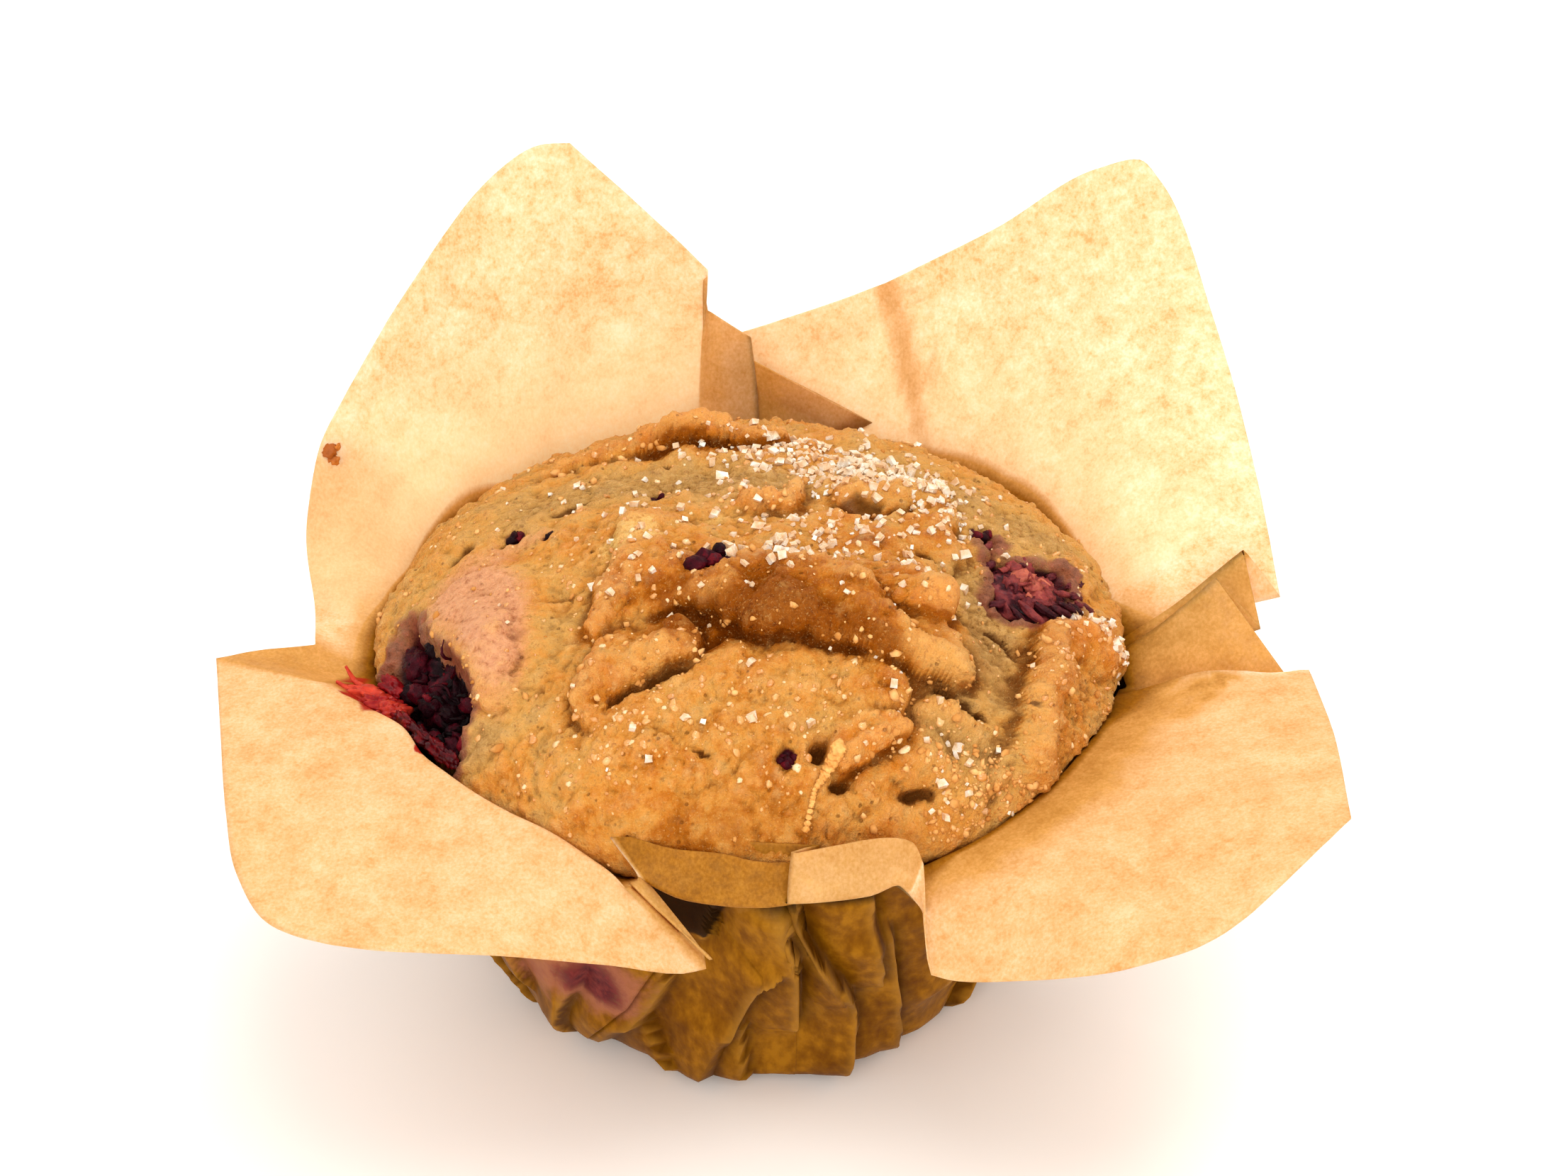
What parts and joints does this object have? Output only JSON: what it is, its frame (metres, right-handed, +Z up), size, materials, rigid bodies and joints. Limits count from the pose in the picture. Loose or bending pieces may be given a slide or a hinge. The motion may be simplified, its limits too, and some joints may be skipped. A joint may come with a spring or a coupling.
{
  "type": "muffin",
  "caption": "Berry muffin in a tulip-style baking paper case with standing corner petals, resting on its flat base.",
  "frame": {"origin": "middle of the flat base of the paper case, on the surface it stands on", "axes": "+Z up through the crown, -Y towards the side with the short gathered collar, +X to its right"},
  "size_m": [0.116, 0.0999, 0.0772],
  "materials": {
    "muffin": "matte baked crust, golden brown",
    "paper_case": "translucent brown baking paper, greasy on the wall",
    "berry": "moist cooked fruit, dark red"
  },
  "bodies": {
    "root": {"muffin": "muffin", "paper_case": "paper_case", "berry_left": "berry", "berry_right": "berry"}
  },
  "joints": []
}
